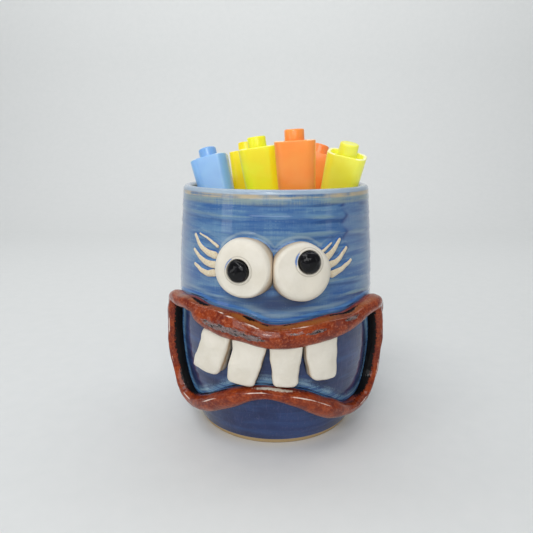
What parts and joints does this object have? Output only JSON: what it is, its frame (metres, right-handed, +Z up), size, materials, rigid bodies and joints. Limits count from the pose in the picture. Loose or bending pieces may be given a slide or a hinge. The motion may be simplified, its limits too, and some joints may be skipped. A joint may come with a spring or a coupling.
{
  "type": "monster face pencil cup",
  "caption": "Round thrown stoneware cup with an applied monster face: ball eyes, lashes, square teeth and a rolled clay mouth. Capped highlighters stand in it and lift out.",
  "frame": {"origin": "centre of the flat foot, on the surface that the cup stands on", "axes": "+Z up along the cup, -Y out of the middle of the face, +X to the right of someone looking at the face"},
  "size_m": [0.1068, 0.1051, 0.1435],
  "materials": {
    "blue_glaze": "gloss, streaky",
    "iron_red_glaze": "gloss, speckled",
    "cream_clay": "matte",
    "black_glaze": "gloss",
    "buff_clay": "matte",
    "blue_plastic": "gloss",
    "blue_felt": "matte felt",
    "gold_plastic": "gloss",
    "gold_felt": "matte felt",
    "lemon_plastic": "gloss",
    "lemon_felt": "matte felt",
    "orange_plastic": "gloss",
    "orange_felt": "matte felt",
    "deep_orange_plastic": "gloss",
    "deep_orange_felt": "matte felt",
    "pale_yellow_plastic": "gloss",
    "pale_yellow_felt": "matte felt"
  },
  "bodies": {
    "cup": {"cup_body": "blue_glaze", "upper_lip": "iron_red_glaze", "lower_lip": "iron_red_glaze", "tooth_1": "cream_clay", "tooth_2": "cream_clay", "tooth_3": "cream_clay", "tooth_4": "cream_clay", "eye_left": "cream_clay", "eye_right": "cream_clay", "pupil_left": "black_glaze", "pupil_right": "black_glaze", "lash_left_1": "buff_clay", "lash_left_2": "buff_clay", "lash_left_3": "buff_clay", "lash_left_4": "buff_clay", "lash_right_1": "buff_clay", "lash_right_2": "buff_clay", "lash_right_3": "buff_clay", "lash_right_4": "buff_clay"},
    "blue_pen": {"blue_barrel": "blue_plastic", "blue_end_plug": "blue_plastic", "blue_reservoir": "blue_felt", "blue_nib": "blue_felt"},
    "blue_cap_body": {"blue_cap": "blue_plastic"},
    "gold_pen": {"gold_barrel": "gold_plastic", "gold_end_plug": "gold_plastic", "gold_reservoir": "gold_felt", "gold_nib": "gold_felt"},
    "gold_cap_body": {"gold_cap": "gold_plastic"},
    "lemon_pen": {"lemon_barrel": "lemon_plastic", "lemon_end_plug": "lemon_plastic", "lemon_reservoir": "lemon_felt", "lemon_nib": "lemon_felt"},
    "lemon_cap_body": {"lemon_cap": "lemon_plastic"},
    "orange_pen": {"orange_barrel": "orange_plastic", "orange_end_plug": "orange_plastic", "orange_reservoir": "orange_felt", "orange_nib": "orange_felt"},
    "orange_cap_body": {"orange_cap": "orange_plastic"},
    "deep_orange_pen": {"deep_orange_barrel": "deep_orange_plastic", "deep_orange_end_plug": "deep_orange_plastic", "deep_orange_reservoir": "deep_orange_felt", "deep_orange_nib": "deep_orange_felt"},
    "deep_orange_cap_body": {"deep_orange_cap": "deep_orange_plastic"},
    "pale_yellow_pen": {"pale_yellow_barrel": "pale_yellow_plastic", "pale_yellow_end_plug": "pale_yellow_plastic", "pale_yellow_reservoir": "pale_yellow_felt", "pale_yellow_nib": "pale_yellow_felt"},
    "pale_yellow_cap_body": {"pale_yellow_cap": "pale_yellow_plastic"}
  },
  "joints": [
    {"name": "blue_pen_lift", "type": "slide", "parent": "cup", "child": "blue_pen", "axis": [-0.2313, 0.2157, 0.9487], "range_m": [0, 0.128]},
    {"name": "blue_cap_pull", "type": "slide", "parent": "blue_pen", "child": "blue_cap_body", "axis": [-0.2313, 0.2157, 0.9487], "range_m": [0, 0.032]},
    {"name": "gold_pen_lift", "type": "slide", "parent": "cup", "child": "gold_pen", "axis": [-0.0654, 0.1246, 0.99], "range_m": [0, 0.128]},
    {"name": "gold_cap_pull", "type": "slide", "parent": "gold_pen", "child": "gold_cap_body", "axis": [-0.0654, 0.1246, 0.99], "range_m": [0, 0.032]},
    {"name": "lemon_pen_lift", "type": "slide", "parent": "cup", "child": "lemon_pen", "axis": [-0.1417, 0.0031, 0.9899], "range_m": [0, 0.128]},
    {"name": "lemon_cap_pull", "type": "slide", "parent": "lemon_pen", "child": "lemon_cap_body", "axis": [-0.1417, 0.0031, 0.9899], "range_m": [0, 0.032]},
    {"name": "orange_pen_lift", "type": "slide", "parent": "cup", "child": "orange_pen", "axis": [-0.0561, -0.0031, 0.9984], "range_m": [0, 0.128]},
    {"name": "orange_cap_pull", "type": "slide", "parent": "orange_pen", "child": "orange_cap_body", "axis": [-0.0561, -0.0031, 0.9984], "range_m": [0, 0.032]},
    {"name": "deep_orange_pen_lift", "type": "slide", "parent": "cup", "child": "deep_orange_pen", "axis": [0.2749, 0.1051, 0.9557], "range_m": [0, 0.128]},
    {"name": "deep_orange_cap_pull", "type": "slide", "parent": "deep_orange_pen", "child": "deep_orange_cap_body", "axis": [0.2749, 0.1051, 0.9557], "range_m": [0, 0.032]},
    {"name": "pale_yellow_pen_lift", "type": "slide", "parent": "cup", "child": "pale_yellow_pen", "axis": [0.1659, -0.2477, 0.9545], "range_m": [0, 0.128]},
    {"name": "pale_yellow_cap_pull", "type": "slide", "parent": "pale_yellow_pen", "child": "pale_yellow_cap_body", "axis": [0.1659, -0.2477, 0.9545], "range_m": [0, 0.032]}
  ]
}
